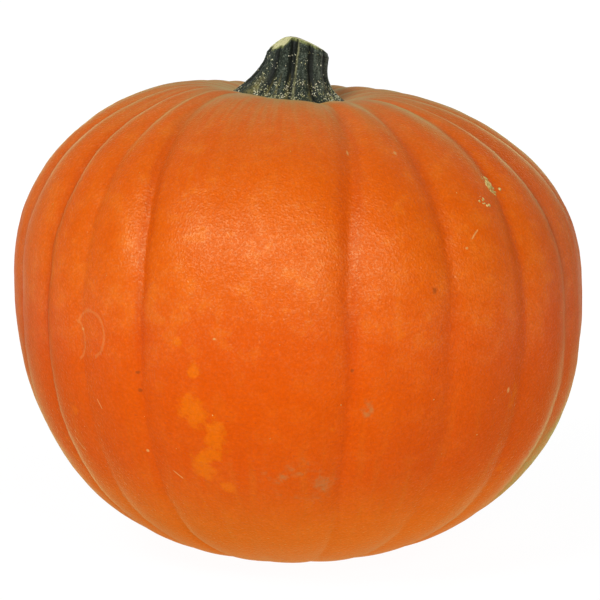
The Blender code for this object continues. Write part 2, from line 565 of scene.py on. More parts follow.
@dataclass
class Fruit:
    """The ribbed fruit, with its stem pit at the crown and its blossom-end scar at the base."""

    belly_radius: float = 0.1465
    belly_depth_ratio: float = 0.97
    crown_height: float = 0.112
    crown_exponent: float = 2.45
    crown_tilt: float = 0.023
    base_depth: float = 0.138
    base_exponent: float = 2.35
    belly_centre: Vector = field(default_factory=lambda: Vector((-0.0007, 0.0, 0.1352)))
    crown_shift: Vector = field(default_factory=lambda: Vector((-0.0045, 0.012, 0.0)))
    base_shift: Vector = field(default_factory=lambda: Vector((-0.003, 0.0175, 0.0)))
    pit_depth: float = 0.018
    pit_radius: float = 0.034
    scar_depth: float = 0.003
    scar_radius: float = 0.016
    crease_depth: float = 0.0038
    crease_lower_share: float = 0.58
    crease_sharpness: float = 2.4
    crease_line_share: float = 0.12
    crease_line_sharpness: float = 8.0
    crease_roundness_at_crown: float = 0.14
    crease_wander: float = math.radians(1.6)
    crease_waver: float = math.radians(1.3)
    lump_height: float = 0.0014
    wrinkle_height: float = 0.00018
    segments_per_rib: int = 20
    rings: int = 200
    segment_crowding: float = 0.09
    ring_crowding: float = 0.3

    def beside(self, tree: ShapeTree, rib: Value, share: Value, entries: list[float]) -> Value:
        """Number that goes from a rib's left crease to its right one.

        Args:
            tree: The tree that is written.
            rib: The rib, counted from 0.
            share: How much of the right crease's number is taken.
            entries: Each crease's number, and the first one's again at the end.

        Returns:
            The number.
        """
        return tree.look_up(rib, entries[:-1]).toward(tree.look_up(rib, entries[1:]), share)

    def bearings(self, tree: ShapeTree, turn: Value, colatitude: Value) -> tuple[Value, Value]:
        """Turn a share of the way round into an azimuth and the share of a full crease.

        Args:
            tree: The tree that is written.
            turn: Share of the way round, with each rib as wide as any other.
            colatitude: Angle from the crown.

        Returns:
            The azimuth in radians, and the share of a full crease, from 0 on a rib's back to 1.
        """
        place = turn * float(len(CREASES))
        rib = place.math("FLOOR").math("MINIMUM", float(len(CREASES) - 1))
        across = place - rib
        across = across - (across * TURN).sine() * self.segment_crowding
        closed = (*CREASES, CREASES[0])
        angles = [math.radians(crease.azimuth) for crease in CREASES]
        angles.append(angles[0] + TURN)
        drifts = [math.radians(crease.drift) for crease in closed]
        drift = self.beside(tree, rib, across, drifts) * colatitude.between(80.0, 30.0)
        azimuth = self.beside(tree, rib, across, angles) + drift
        ball = tree.vector(azimuth.sine(), azimuth.cosine(), colatitude.cosine() * 1.5)
        wander = (tree.noise(ball, 1.9, 1.0) - 0.5) * 2.0 * self.crease_wander
        waver = (tree.noise(ball, 9.0, 1.0) - 0.5) * self.crease_waver
        azimuth = azimuth + (wander + waver) * colatitude.sine()
        beyond = across.math("GREATER_THAN", 0.5)
        depth = self.beside(tree, rib, beyond, [crease.depth for crease in closed])
        soft = self.beside(tree, rib, beyond, [crease.roundness for crease in closed])
        soft = soft + colatitude.between(75.0, 35.0) * self.crease_roundness_at_crown
        away = 1.0 - (across * 2.0 - 1.0).size()
        edge = 1.0 - ((away * away + soft * soft) ** 0.5 - soft)
        line = edge ** self.crease_line_sharpness
        profile = (edge ** self.crease_sharpness).toward(line, self.crease_line_share)
        return azimuth, profile * depth

    def reach(self, tree: ShapeTree, colatitude: Value, azimuth: Value, sink: Value) -> Value:
        """Distance from the belly's middle to the skin, before the pit and the flat spot.

        Args:
            tree: The tree that is written.
            colatitude: Angle from the crown.
            azimuth: Azimuth in radians.
            sink: Depth of the crease.

        Returns:
            The distance.
        """
        sine, cosine = colatitude.sine(), colatitude.cosine()
        upper = cosine.math("GREATER_THAN", 0.0)
        crown = tree.input("Crown height", self.crown_height)
        crown = crown * (azimuth.sine() * -self.crown_tilt + 1.0)
        height = tree.input("Base depth", self.base_depth).toward(crown, upper)
        power = tree.input("Base exponent", self.base_exponent).toward(
            tree.input("Crown exponent", self.crown_exponent), upper
        )
        wide = sine.size() / tree.input("Belly radius", self.belly_radius)
        reach = (wide ** power + (cosine.size() / height) ** power) ** (power ** -1.0 * -1.0)
        for flat in FLATS:
            middle = math.radians(flat.colatitude)
            turned = (azimuth - math.radians(flat.azimuth)).cosine()
            near = cosine * math.cos(middle) + sine * turned * math.sin(middle)
            away = near.math("MAXIMUM", -1.0).math("MINIMUM", 1.0).math("ARCCOSINE")
            reach = reach - away.bell(math.radians(flat.spread)) * flat.depth
        ball = tree.vector(azimuth.sine() * sine, azimuth.cosine() * sine, cosine)
        lumps = (tree.noise(ball, 2.6, 2.0) - 0.5) * tree.input("Lump height", self.lump_height)
        return reach + lumps * 2.0 * sine - sink

    def skin(
        self, tree: ShapeTree, colatitude: Value, azimuth: Value, reach: Value
    ) -> tuple[Value, Value]:
        """Place on the skin, with the pit, the flat spot and the scar.

        Args:
            tree: The tree that is written.
            colatitude: Angle from the crown.
            azimuth: Azimuth in radians.
            reach: Distance from the belly's middle.

        Returns:
            The place, and the distance from the axis.
        """
        radius, rise = reach * colatitude.sine(), reach * colatitude.cosine()
        upper = colatitude.cosine().math("GREATER_THAN", 0.0)
        crown = (rise / self.crown_height).math("MAXIMUM", 0.0) ** 2.0
        base = (rise / -self.base_depth).math("MAXIMUM", 0.0) ** 2.0
        pit = radius.bell(tree.input("Pit radius", self.pit_radius))
        pit = pit * tree.input("Pit depth", self.pit_depth)
        rise = (rise - pit * upper).math("MAXIMUM", -self.belly_centre.z)
        bowl = (1.0 - (radius / self.scar_radius) ** 2.0).math("MAXIMUM", 0.0) ** 2.0
        rise = rise + bowl * tree.input("Scar depth", self.scar_depth) * (1.0 - upper)
        x = radius * azimuth.sine() + crown * self.crown_shift.x + base * self.base_shift.x
        y = radius * azimuth.cosine() * -self.belly_depth_ratio
        y = y + crown * self.crown_shift.y + base * self.base_shift.y
        centre = self.belly_centre
        return tree.vector(x + centre.x, y + centre.y, rise + centre.z), radius

    def build(self, material: bpy.types.Material) -> bpy.types.Object:
        """Build the fruit.

        Args:
            material: The rind's material.

        Returns:
            The fruit.
        """
        tree = ShapeTree("fruit_shape")
        segments = tree.input("Segments", self.segments_per_rib * len(CREASES))
        ball, down, turn = tree.sphere(segments, tree.input("Rings", self.rings))
        colatitude = down * math.pi
        colatitude = colatitude - (colatitude * 2.0).sine() * (self.ring_crowding * 0.5)
        azimuth, crease = self.bearings(tree, turn, colatitude)
        lower = colatitude.between(60.0, 120.0) * (self.crease_lower_share - 1.0) + 1.0
        ends = colatitude.between(12.0, 42.0)
        ends = ends * (colatitude.between(30.0, 65.0) * 0.25 + 0.75)
        ends = ends * colatitude.between(166.0, 140.0)
        crease = crease * lower * ends
        sink = crease * tree.input("Crease depth", self.crease_depth)
        reach = self.reach(tree, colatitude, azimuth, sink)
        place, radius = self.skin(tree, colatitude, azimuth, reach)
        scar = radius.smooth(0.011, 0.007) * colatitude.between(150.0, 170.0)
        marks = {"east": azimuth.sine(), "north": azimuth.cosine()}
        marks.update(colatitude=colatitude, crease=crease, scar=scar)
        for name, content in marks.items():
            ball = tree.store(ball, name, content)
        skin = tree.moved(ball, place)
        x, y, z = tree.split(tree.place())
        stretched = tree.vector(x, y, z * 2.2)
        wrinkles = tree.noise(stretched, 75.0, 1.0, 0.55) - 0.5
        wrinkles = wrinkles * tree.input("Wrinkle height", self.wrinkle_height)
        skin = tree.raised(skin, wrinkles * z.smooth(0.004, 0.03) * 2.0)
        return tree.piece("fruit_rind", skin, material)


# --- Stem ---------------------------------------------------------------------------------


STEM_STREAKS = (
    (-52.0, 0.10), (-33.0, 0.035), (-20.0, 0.03), (-6.0, 0.03), (24.0, 0.04), (58.0, 0.05),
    (120.0, 0.07), (172.0, 0.05), (215.0, 0.09), (262.0, 0.06),
)


@dataclass
class Stem:
    """The cut stem: a foot that grips the pit, a furrowed wall and a torn cut."""

    middle: Vector = field(default_factory=lambda: Vector((-0.0052, 0.012, 0.0)))
    lean: Vector = field(default_factory=lambda: Vector((0.0045, -0.003, 0.0)))
    top: float = 0.2675
    top_radius: float = 0.0158
    foot_radius: float = 0.0288
    foot_lobes: float = 5.0
    foot_lobe_share: float = 0.05
    foot_sink: float = 0.0005
    flare_power: float = 2.55
    flare_power_side: float = 0.5
    furrows: float = 10.0
    furrow_depth: float = 0.0019
    furrow_sharpness: float = 2.2
    twist: float = math.radians(8.0)
    peak: float = -0.0040
    fall: float = 3.3
    fall_left: float = 5.2
    front_fall: float = 0.27
    back_fall: float = 0.10
    corner_fall: float = 0.0007
    bevel: float = 0.0010
    fibre_height: float = 0.00022
    knob_height: float = 0.0006
    tear_height: float = 0.0012
    cut_share: float = 0.18
    wall_share: float = 0.76
    segments: int = 300
    rings: int = 150

    def furrow(self, tree: ShapeTree, azimuth: Value, height: Value) -> Value:
        """Depth share of the furrows, with the front one the deepest.

        Args:
            tree: The tree that is written.
            azimuth: Azimuth in radians.
            height: Share of the way up.

        Returns:
            The share, about 1 in an ordinary furrow.
        """
        angle = azimuth + height * self.twist
        groove = ((angle * self.furrows).cosine() * 0.5 + 0.5) ** self.furrow_sharpness
        fine = ((angle * (self.furrows * 2.0) + 1.3).cosine() * 0.5 + 0.5) ** 3.0
        front = (angle.cosine() * 0.5 + 0.5) ** 24.0
        ring = tree.vector(angle.sine(), angle.cosine(), 0.0)
        uneven = tree.noise(ring, 2.6, 1.0) * 1.3 + 0.35
        return groove * uneven + groove * front * 0.7 + fine * 0.16

    def stripes(self, azimuth: Value, stripes: Sequence[tuple[float, float]]) -> Value:
        """Mask of upright stripes, each given as an azimuth in degrees and a spread."""
        mask: Number = 0.0
        for middle, spread in stripes:
            beside = azimuth - math.radians(middle)
            mask = beside.sine().bell(spread) * beside.cosine().math("GREATER_THAN", 0.0) + mask
        return mask.clamped()

    def cut_height(self, across: Value, front: Value) -> Value:
        """Height of the cut, which drops to both sides of a ridge and, on the left, to the front.

        Args:
            across: Distance from the middle towards +X.
            front: Distance from the middle towards the front.

        Returns:
            The height.
        """
        away = across - self.peak
        left = away.smooth(0.001, -0.004)
        slope = left * (self.fall_left - self.fall) + self.fall
        drop = away.size() ** 1.5 * slope + across.smooth(0.0125, 0.0160) * self.corner_fall
        behind = (front * -1.0).math("MAXIMUM", 0.0) * (1.0 - left) * self.back_fall
        ahead = front.math("MAXIMUM", 0.0) * left * self.front_fall
        return self.top - (drop + behind + ahead)

    def build(self, fruit: bpy.types.Object, material: bpy.types.Material) -> bpy.types.Object:
        """Build the stem.

        Args:
            fruit: The finished fruit, which the foot stands on.
            material: The stem's material.

        Returns:
            The stem.
        """
        tree = ShapeTree("stem_shape")
        ground = tree.surface("Fruit", fruit)
        segments = tree.input("Segments", self.segments)
        ball, down, turn = tree.sphere(segments, tree.input("Rings", self.rings))
        azimuth = turn * TURN
        height = ((self.wall_share - down) / (self.wall_share - self.cut_share)).clamped()
        inward = (down / self.cut_share).clamped()
        under = ((1.0 - down) / (1.0 - self.wall_share)).clamped()
        depth = tree.input("Furrow depth", self.furrow_depth)
        furrow = self.furrow(tree, azimuth, height) * height.smooth(-0.05, 0.3)
        foot = (azimuth * self.foot_lobes).cosine() * self.foot_lobe_share + 1.0
        toes = tree.noise(tree.vector(azimuth.sine(), azimuth.cosine(), 0.0), 5.0, 2.0) - 0.5
        foot = (foot + toes * 0.14) * tree.input("Foot radius", self.foot_radius)
        top_radius = tree.input("Top radius", self.top_radius)
        power = azimuth.sine() * self.flare_power_side + self.flare_power
        flare = (foot - top_radius) * ((1.0 - height) ** power)
        bevel = tree.input("Bevel", self.bevel)
        wall = flare + top_radius - furrow * depth - height.smooth(0.90, 1.0) * bevel
        radius = wall * inward * under
        rim = (top_radius - bevel - self.furrow(tree, azimuth, 1.0 + height * 0.0) * depth) * inward
        cut = self.cut_height(rim * azimuth.sine(), rim * azimuth.cosine())
        x = radius * azimuth.sine() + self.middle.x
        y = radius * azimuth.cosine() * -1.0 + self.middle.y
        edge_x = foot * under * azimuth.sine() + self.middle.x
        edge_y = foot * under * azimuth.cosine() * -1.0 + self.middle.y
        foot_place = tree.ground(ground, tree.vector(edge_x, edge_y, 0.3))
        foot_z = tree.split(foot_place)[2] - self.foot_sink
        z = foot_z.toward(cut, height)
        on_cut = down.smooth(self.cut_share + 0.004, self.cut_share - 0.012)
        vein, streak = self.stripes(azimuth, ((2.0, 0.024),)), self.stripes(azimuth, STEM_STREAKS)
        marks = {"stem_height": height, "furrow": furrow, "cut": on_cut}
        marks.update(vein=vein, streak=streak)
        for name, content in marks.items():
            ball = tree.store(ball, name, content)
        skin = tree.moved(ball, tree.vector(x + self.lean.x * height, y + self.lean.y * height, z))
        rough = self.roughened(tree, skin, height, on_cut, under)
        return tree.piece("stem_stalk", rough, material)

    def roughened(
        self, tree: ShapeTree, skin: Any, height: Value, on_cut: Value, under: Value
    ) -> Any:
        """Raise fibres on the wall, knobs at the foot and torn flesh on the cut.

        Args:
            tree: The tree that is written.
            skin: The smooth stem.
            height: Share of the way up.
            on_cut: 1 on the cut.
            under: 1 above the foot, falling to 0 in the middle beneath it.

        Returns:
            The rough stem.
        """
        place = tree.place()
        x, y, z = tree.split(place)
        fibres = tree.noise(tree.vector(x, y, z * 0.09), 800.0, 2.0) - 0.5
        knobs = (tree.noise(place, 330.0, 2.0) - 0.5) * (height.smooth(0.5, 0.0) + 0.25)
        torn = tree.noise(tree.vector(x, y * 0.6, z), 420.0, 3.0, 0.6) - 0.5
        torn = torn + (tree.noise(place, 190.0, 1.0) - 0.5) * 2.4
        wall = fibres * tree.input("Fibre height", self.fibre_height)
        wall = (wall + knobs * tree.input("Knob height", self.knob_height)) * under.smooth(0.9, 1.0)
        rise = wall.toward(torn * tree.input("Tear height", self.tear_height), on_cut) * 2.0
        return tree.raised(skin, rise)


# --- Grains -------------------------------------------------------------------------------


@dataclass(frozen=True)
class Scab:
    """Patch of healed cork: its place, its spread and the grains per square metre in its middle."""

    place: tuple[float, float, float]
    spread: float
    density: float


SCABS = (
    Scab((0.0904, -0.0756, 0.1997), 0.0021, 8.0e6),
    Scab((0.0890, -0.0774, 0.1996), 0.0014, 6.0e6), Scab((0.0896, -0.0729, 0.2025), 0.0007, 5.0e6),
    Scab((0.0908, -0.0809, 0.1971), 0.0008, 6.0e6),
    Scab((0.0869, -0.0913, 0.1939), 0.0010, 0.7e6),
    Scab((-0.060, 0.105, 0.185), 0.0024, 1.6e6),
    Scab((0.030, 0.128, 0.100), 0.0017, 1.6e6),
)


@dataclass
class Grains:
    """Cork grains: pale specks on the stem, and tan scabs and dots on the fruit."""

    speck_density: float = 2300000.0
    speck_sizes: tuple[float, float] = (0.00009, 0.00040)
    scab_sizes: tuple[float, float] = (0.0003, 0.0010)
    dot_density: float = 450.0
    dot_sizes: tuple[float, float] = (0.00012, 0.0003)

    def specks(self, stem: bpy.types.Object, material: bpy.types.Material) -> bpy.types.Object:
        """Strew specks over the stem, most of them low down in loose bands.

        Args:
            stem: The finished stem.
            material: The cork.

        Returns:
            The specks.
        """
        tree = ShapeTree("stem_specks_shape")
        surface = tree.surface("Stem", stem)
        place = tree.place()
        z = tree.split(place)[2]
        low = z.smooth(0.252, 0.233) * 0.90 + 0.10
        clumps = tree.noise(place, 140.0, 1.0).smooth(0.42, 0.70)
        wall = z.smooth(0.262, 0.258)
        density = tree.input("Density", self.speck_density) * low * clumps * wall
        grains = tree.scatter(surface, density, 4, self.speck_sizes, 0.55)
        return tree.piece("stem_specks", grains, material)

    def scabs(self, fruit: bpy.types.Object, material: bpy.types.Material) -> bpy.types.Object:
        """Strew scabs and single dots over the fruit.

        Args:
            fruit: The finished fruit.
            material: The cork.

        Returns:
            The grains.
        """
        tree = ShapeTree("fruit_scabs_shape")
        surface = tree.surface("Fruit", fruit)
        place = tree.place()
        density: Number = 0.0
        for scab in SCABS:
            away = tree.vectors("DISTANCE", place, scab.place, 1)
            density = away.bell(scab.spread) * scab.density + density
        rough = tree.noise(place, 900.0, 1.0).smooth(0.35, 0.65) * 1.5
        lumps = tree.scatter(surface, density * rough, 7, self.scab_sizes, 0.45)
        sparse = tree.input("Dot density", self.dot_density)
        dots = tree.scatter(surface, sparse, 12, self.dot_sizes, 0.35)
        both = tree.node("GeometryNodeJoinGeometry")
        for part in (dots, lumps):
            tree.tree.links.new(part, both.inputs[0])
        return tree.piece("fruit_scabs", both.outputs[0], material)


# --- Finishes -----------------------------------------------------------------------------


@dataclass(frozen=True)
class Patch:
    """Soft patch on the rind, with its azimuth and tilt in degrees, and its half sizes."""

    azimuth: float
    height: float
    width: float
    rise: float
    tilt: float = 0.0


@dataclass(frozen=True)
class Scratch:
    """Thin line on the rind: azimuth in degrees and height of its middle, half length and tilt."""

    azimuth: float
    height: float
    length: float
    tilt: float


YELLOW_PATCHES = (
    Patch(-20.8, 0.101, 0.0056, 0.0080, 30.0), Patch(-17.0, 0.089, 0.0045, 0.0080, -12.0),
    Patch(-20.4, 0.072, 0.0048, 0.0065, 10.0), Patch(-20.2, 0.121, 0.0030, 0.0038),
    Patch(-23.2, 0.134, 0.0022, 0.0020), Patch(-16.0, 0.062, 0.0030, 0.0030),
    Patch(-18.5, 0.079, 0.0070, 0.0040, 20.0), Patch(118.0, 0.150, 0.006, 0.010, 15.0),
    Patch(203.0, 0.090, 0.009, 0.013, -20.0), Patch(252.0, 0.120, 0.005, 0.008),
)
SCUFFS = (
    Patch(0.5, 0.066, 0.013, 0.0075, -14.0), Patch(12.8, 0.103, 0.0025, 0.0035),
    Patch(154.0, 0.08, 0.010, 0.007),
)
GROUND_SPOT = Patch(97.0, 0.056, 0.068, 0.032, -6.0)
SCRATCHES = (
    Scratch(-27.0, 0.0672, 0.0032, -42.0), Scratch(-42.8, 0.0990, 0.0030, -60.0),
    Scratch(-54.0, 0.0745, 0.0042, -58.0), Scratch(37.6, 0.1805, 0.0036, 38.0),
    Scratch(140.0, 0.150, 0.0050, 30.0), Scratch(222.0, 0.190, 0.0040, -35.0),
)
DARK_DOTS = (
    Patch(-32.4, 0.1086, 0.0011, 0.0009), Patch(-32.6, 0.1173, 0.0012, 0.0008),
    Patch(26.2, 0.1572, 0.0012, 0.0014), Patch(9.9, 0.1215, 0.0008, 0.0008),
    Patch(170.0, 0.140, 0.0012, 0.0011),
)
PALE_DOTS = (
    Patch(44.8, 0.1052, 0.0008, 0.0013), Patch(26.2, 0.2172, 0.0010, 0.0007),
    Patch(13.3, 0.2175, 0.0004, 0.0010), Patch(34.9, 0.1747, 0.0008, 0.0006),
    Patch(-46.0, 0.1345, 0.0008, 0.0007), Patch(-33.2, 0.078, 0.0006, 0.0007),
    Patch(-16.1, 0.1362, 0.0007, 0.0005), Patch(-140.0, 0.16, 0.001, 0.001),
)


@dataclass(frozen=True)
class RindFinish:
    """Waxy orange rind with its marks."""

    ripe: Colour = (0.80, 0.112, 0.001)
    deep: Colour = (0.76, 0.092, 0.001)
    light: Colour = (0.84, 0.142, 0.002)
    golden: Colour = (0.82, 0.160, 0.002)
    bloom_and_reflection: Colour = (0.70, 0.205, 0.020)
    painted_reflection: Colour = (0.62, 0.28, 0.105)
    # Darker red for the creases: painted shade.
    crease_shade: Colour = (0.60, 0.050, 0.001)
    yellow: Colour = (0.88, 0.180, 0.001)
    tan: Colour = (0.52, 0.22, 0.07)
    grey: Colour = (0.50, 0.22, 0.06)
    olive: Colour = (0.50, 0.30, 0.055)
    dark: Colour = (0.22, 0.05, 0.01)
    pale: Colour = (0.80, 0.40, 0.12)
    cork: Colour = (0.33, 0.20, 0.09)
    sheen: Colour = (0.54, 0.80, 0.36)
    glint: Colour = (1.0, 0.95, 0.50)
    sheen_roughness: float = 0.28
    broad_scale: float = 16.0
    middling_scale: float = 95.0
    fine_scale: float = 620.0
    streak_scale: float = 26.0
    edge_scale: float = 240.0
    sparkle_scale: float = 1000.0
    pore_scale: float = 330.0
    net_scale: float = 150.0
    pore_depth: float = 0.00013
    grain_height: float = 0.00007
    fine_height: float = 0.00028
    net_height: float = 0.00015
    net_height_above: float = 0.00005

    def spot(self, paint: Paint, patch: Patch, wobble: Value, softness: float = 0.35) -> Value:
        """Mask of a patch.

        Args:
            paint: The material that is written.
            patch: The patch.
            wobble: Unevenness of its edge, around 0.
            softness: Width of its edge as a share of its size.

        Returns:
            1 inside, 0 outside.
        """
        across, up = self.across(paint, patch.azimuth, patch.height, patch.tilt)
        wide = (across / patch.width) ** 2.0 + (up / patch.rise) ** 2.0
        facing = self.facing(paint, patch.azimuth)
        return (wide ** 0.5 + wobble).smooth(1.0 + softness, 1.0 - softness) * facing

    def across(
        self, paint: Paint, azimuth: float, height: float, tilt: float
    ) -> tuple[Value, Value]:
        """Distances across and along a mark's own axis.

        Args:
            paint: The material that is written.
            azimuth: The mark's azimuth in degrees.
            height: The mark's height.
            tilt: Turn of its axis in degrees.

        Returns:
            The two distances.
        """
        x, y, z = paint.split(paint.place)
        turn, lean = math.radians(azimuth), math.radians(tilt)
        side = x * math.cos(turn) + y * math.sin(turn)
        rise = z - height
        along = side * math.cos(lean) + rise * math.sin(lean)
        return along, rise * math.cos(lean) - side * math.sin(lean)

    def facing(self, paint: Paint, azimuth: float) -> Value:
        """Mask of the half of the fruit that an azimuth is on.

        Args:
            paint: The material that is written.
            azimuth: The azimuth in degrees.

        Returns:
            1 on that half, 0 on the other.
        """
        x, y = paint.split(paint.place)[:2]
        turn = math.radians(azimuth)
        return (x * math.sin(turn) - y * math.cos(turn)).math("GREATER_THAN", 0.0)

    def line(self, paint: Paint, scratch: Scratch, wobble: Value) -> Value:
        """Mask of a scratch.

        Args:
            paint: The material that is written.
            scratch: The scratch.
            wobble: Unevenness of the line, around 0.

        Returns:
            1 on the line, 0 away from it.
        """
        along, off = self.across(paint, scratch.azimuth, scratch.height, scratch.tilt)
        thin = (off + wobble * 0.0004).size().smooth(0.00042, 0.00012)
        short = along.size().smooth(scratch.length, scratch.length * 0.7)
        return thin * short * self.facing(paint, scratch.azimuth)

    def hook(self, paint: Paint, wobble: Value) -> Value:
        """Mask of the faint curl on the left: an arc and a short inner arc.

        Args:
            paint: The material that is written.
            wobble: Unevenness of the line.

        Returns:
            1 on the lines, 0 away from them.
        """
        mask: Number = 0.0
        for azimuth, height, width, rise, low, high in (
            (-43.6, 0.1330, 0.0098, 0.0112, -1.35, 2.7), (-48.6, 0.1290, 0.0080, 0.0100, -1.2, 1.3)
        ):
            side, up = self.across(paint, azimuth, height, 0.0)
            side, up = side / width, up / rise
            ring = ((side * side + up * up) ** 0.5 + wobble * 0.1 - 1.0).size().smooth(0.10, 0.03)
            angle = up.math("ARCTAN2", side)
            arc = angle.smooth(low, low + 0.15) * angle.smooth(high, high - 0.15)
            mask = ring * arc * self.facing(paint, azimuth) + mask
        return mask.clamped()

    def make(self) -> bpy.types.Material:
        """Build the rind's material.

        Returns:
            The material.
        """
        paint = Paint("rind", self.ripe)
        place = paint.place
        z = paint.split(place)[2]
        crease, colatitude = paint.read("crease"), paint.read("colatitude")
        ring = paint.vector(paint.read("east"), paint.read("north"), colatitude * 0.12)
        broad = paint.noise(place, self.broad_scale)
        middling = paint.noise(place, self.middling_scale, 3.0, 0.6)
        fine = paint.noise(place, self.fine_scale, 2.0, 0.6)
        streaks = paint.noise(ring, self.streak_scale, 2.0, 0.6)
        edge = (paint.noise(place, self.edge_scale, 3.0, 0.65) - 0.5) * 1.5
        # The left and right sides as seen edge-on from the front, where a reflection is painted.
        flank_reflection = paint.read("east").size().smooth(0.84, 0.96) * z.smooth(0.235, 0.15)
        paint.coats(
            (self.deep, broad.smooth(0.58, 0.36) * 0.75),
            (self.light, middling.smooth(0.52, 0.66) * 0.9),
            (self.deep, middling.smooth(0.48, 0.34) * 0.8),
            (self.light, streaks.smooth(0.55, 0.75) * 0.5),
            # Darker red along the creases: painted shade.
            (self.crease_shade, (crease * 1.3).clamped() ** 4.0 * 0.6),
            (self.yellow, fine.smooth(0.62, 0.72) * 0.28),
            (self.deep, z.smooth(0.155, 0.115) * z.smooth(0.035, 0.065) * 0.7),
            # Yellower upper half: partly the rind's own tone, partly painted highlight.
            (self.golden, z.smooth(0.130, 0.165) * 0.28),
            # Yellower low body: partly the rind's own tone, partly painted reflection of the bright
            # floor.
            (self.golden, z.smooth(0.075, 0.025) * 0.9),
            # Tan streaks low on the body: partly waxy bloom, partly painted reflection of the bright
            # floor.
            (self.bloom_and_reflection, streaks.smooth(0.46, 0.80) * z.smooth(0.13, 0.05) * 0.22),
            # Tan crown: partly waxy bloom, partly painted reflection of the bright surroundings.
            (self.bloom_and_reflection, colatitude.between(62.0, 22.0) * (streaks.smooth(0.35, 0.65) * 0.7 + 0.25)),
            # Pale tan crown: painted reflection of the bright surroundings.
            (self.painted_reflection, colatitude.between(50.0, 18.0) * (streaks.smooth(0.35, 0.65) * 0.55 + 0.28)),
            # Pale tan down the sides seen edge-on from the front: painted reflection.
            (self.painted_reflection, flank_reflection * (streaks.smooth(0.30, 0.80) * 0.24 + 0.06)),
        )
        self.add_patches(paint, edge, broad, middling)
        self.add_ends(paint, z, colatitude, edge)
        # Random fine tone, and lighter towards the bottom: painted light bounced from the bright floor.
        paint.shade(fine * 0.26 + 0.65 + z.smooth(0.09, 0.02) * 0.08)
        self.add_relief(paint, crease)
        rough = middling * 0.10 + 0.40 + z.smooth(0.13, 0.07) * 0.15
        return paint.finished(
            rough,
            Specular_IOR_Level=self.gloss(paint, z, middling),
            Specular_Tint=(*self.glint, 1.0),
            Sheen_Weight=z.smooth(0.165, 0.235) * 0.62 + z.smooth(0.14, 0.09) * 0.36 + 0.14,
            Sheen_Roughness=self.sheen_roughness,
            Sheen_Tint=(*self.sheen, 1.0),
        )

    def gloss(self, paint: Paint, z: Value, patchy: Value) -> Value:
        """Level of the wax's gloss: patchy and sparkling above, dull below and towards the rim.

        Args:
            paint: The material that is written.
            z: Height.
            patchy: Noise of middle size.

        Returns:
            The specular level.
        """
        facing = paint.value(paint.node("ShaderNodeLayerWeight", Blend=0.5).outputs["Facing"])
        level = (facing.smooth(0.18, 0.68) * -0.95 + 1.0) * (z.smooth(0.10, 0.165) * 0.37 + 0.09)
        sparkle = paint.noise(paint.place, self.sparkle_scale, 1.0).smooth(0.45, 0.68) + 0.55
        return level * sparkle * (patchy.smooth(0.38, 0.62) * 0.5 + 0.75)

    def add_patches(self, paint: Paint, edge: Value, broad: Value, middling: Value) -> None:
        """Lay on the yellow patches, the scuffs, the dots and the scratches.

        Args:
            paint: The material that is written.
            edge: Unevenness around 0.
            broad: Broad noise.
            middling: Noise of middle size.
        """
        for patch in YELLOW_PATCHES:
            paint.coat(self.yellow, self.spot(paint, patch, edge * 1.5, 0.42) * 0.64)
        sparse = paint.noise(paint.place, 38.0, 3.0, 0.6).smooth(0.66, 0.72)
        paint.coat(self.yellow, sparse * broad.smooth(0.45, 0.60) * 0.4)
        worn = middling.smooth(0.40, 0.62) * 0.7
        for patch in SCUFFS:
            paint.coat(self.grey, self.spot(paint, patch, edge * 1.6, 0.5) * worn)
        for patch in DARK_DOTS:
            paint.coat(self.dark, self.spot(paint, patch, edge, 0.5) * 0.55)
        for patch in PALE_DOTS:
            paint.coat(self.pale, self.spot(paint, patch, edge, 0.5) * 0.8)
        for scratch in SCRATCHES:
            paint.coat(self.pale, self.line(paint, scratch, edge) * 0.75)
        paint.coat(self.pale, self.hook(paint, edge) * 0.22)

    def add_ends(self, paint: Paint, z: Value, colatitude: Value, edge: Value) -> None:
        """Lay on the ground spot, the paler base, the ring round the stem and the blossom-end scar.

        Args:
            paint: The material that is written.
            z: Height.
            colatitude: Angle from the crown.
            edge: Unevenness around 0.
        """
        spot = self.spot(paint, GROUND_SPOT, edge * 0.35, 0.14)
        spot = spot * (paint.noise(paint.place, 60.0, 2.0, 0.6).smooth(0.34, 0.58) * 0.70 + 0.30)
        paint.coats(
            (self.olive, spot * (edge * 0.9 + 0.70).clamped()),
            (self.cork, spot * edge.smooth(0.05, 0.30) * 0.55),
            # Yellower base: partly its own tone, partly painted reflection of the bright floor.
            (self.golden, z.smooth(0.03, 0.0) * 0.6),
            (self.tan, colatitude.between(15.0, 9.0) * 0.6),
            (self.cork, z.smooth(0.0016, 0.0) * edge.smooth(-0.1, 0.25) * 0.45),
            (self.cork, (paint.read("scar") * (edge * 0.6 + 1.2)).clamped()),
        )

    def add_relief(self, paint: Paint, crease: Value) -> None:
        """Raise pores, fine wrinkles and a hammered net.

        Args:
            paint: The material that is written.
            crease: Share of a full crease.
        """
        x, y, z = paint.split(paint.place)
        flat = paint.vector(x, y, z * 2.6)
        pores = paint.cells(paint.place, self.pore_scale).smooth(0.30, 0.05) * -self.pore_depth
        grain = (paint.noise(paint.place, self.pore_scale, 2.0, 0.6) - 0.5) * self.grain_height
        fine = (paint.noise(paint.place, self.sparkle_scale, 1.0) - 0.5) * self.fine_height
        net_height = z.smooth(0.19, 0.13) * self.net_height + self.net_height_above
        net = (paint.noise(flat, self.net_scale, 2.0, 0.6) - 0.5).size() * net_height
        calm = paint.read("colatitude").between(20.0, 55.0) * 0.6 + 0.4
        paint.relief((pores + grain + fine - net * (crease.clamped() * -0.5 + 1.0)) * calm)


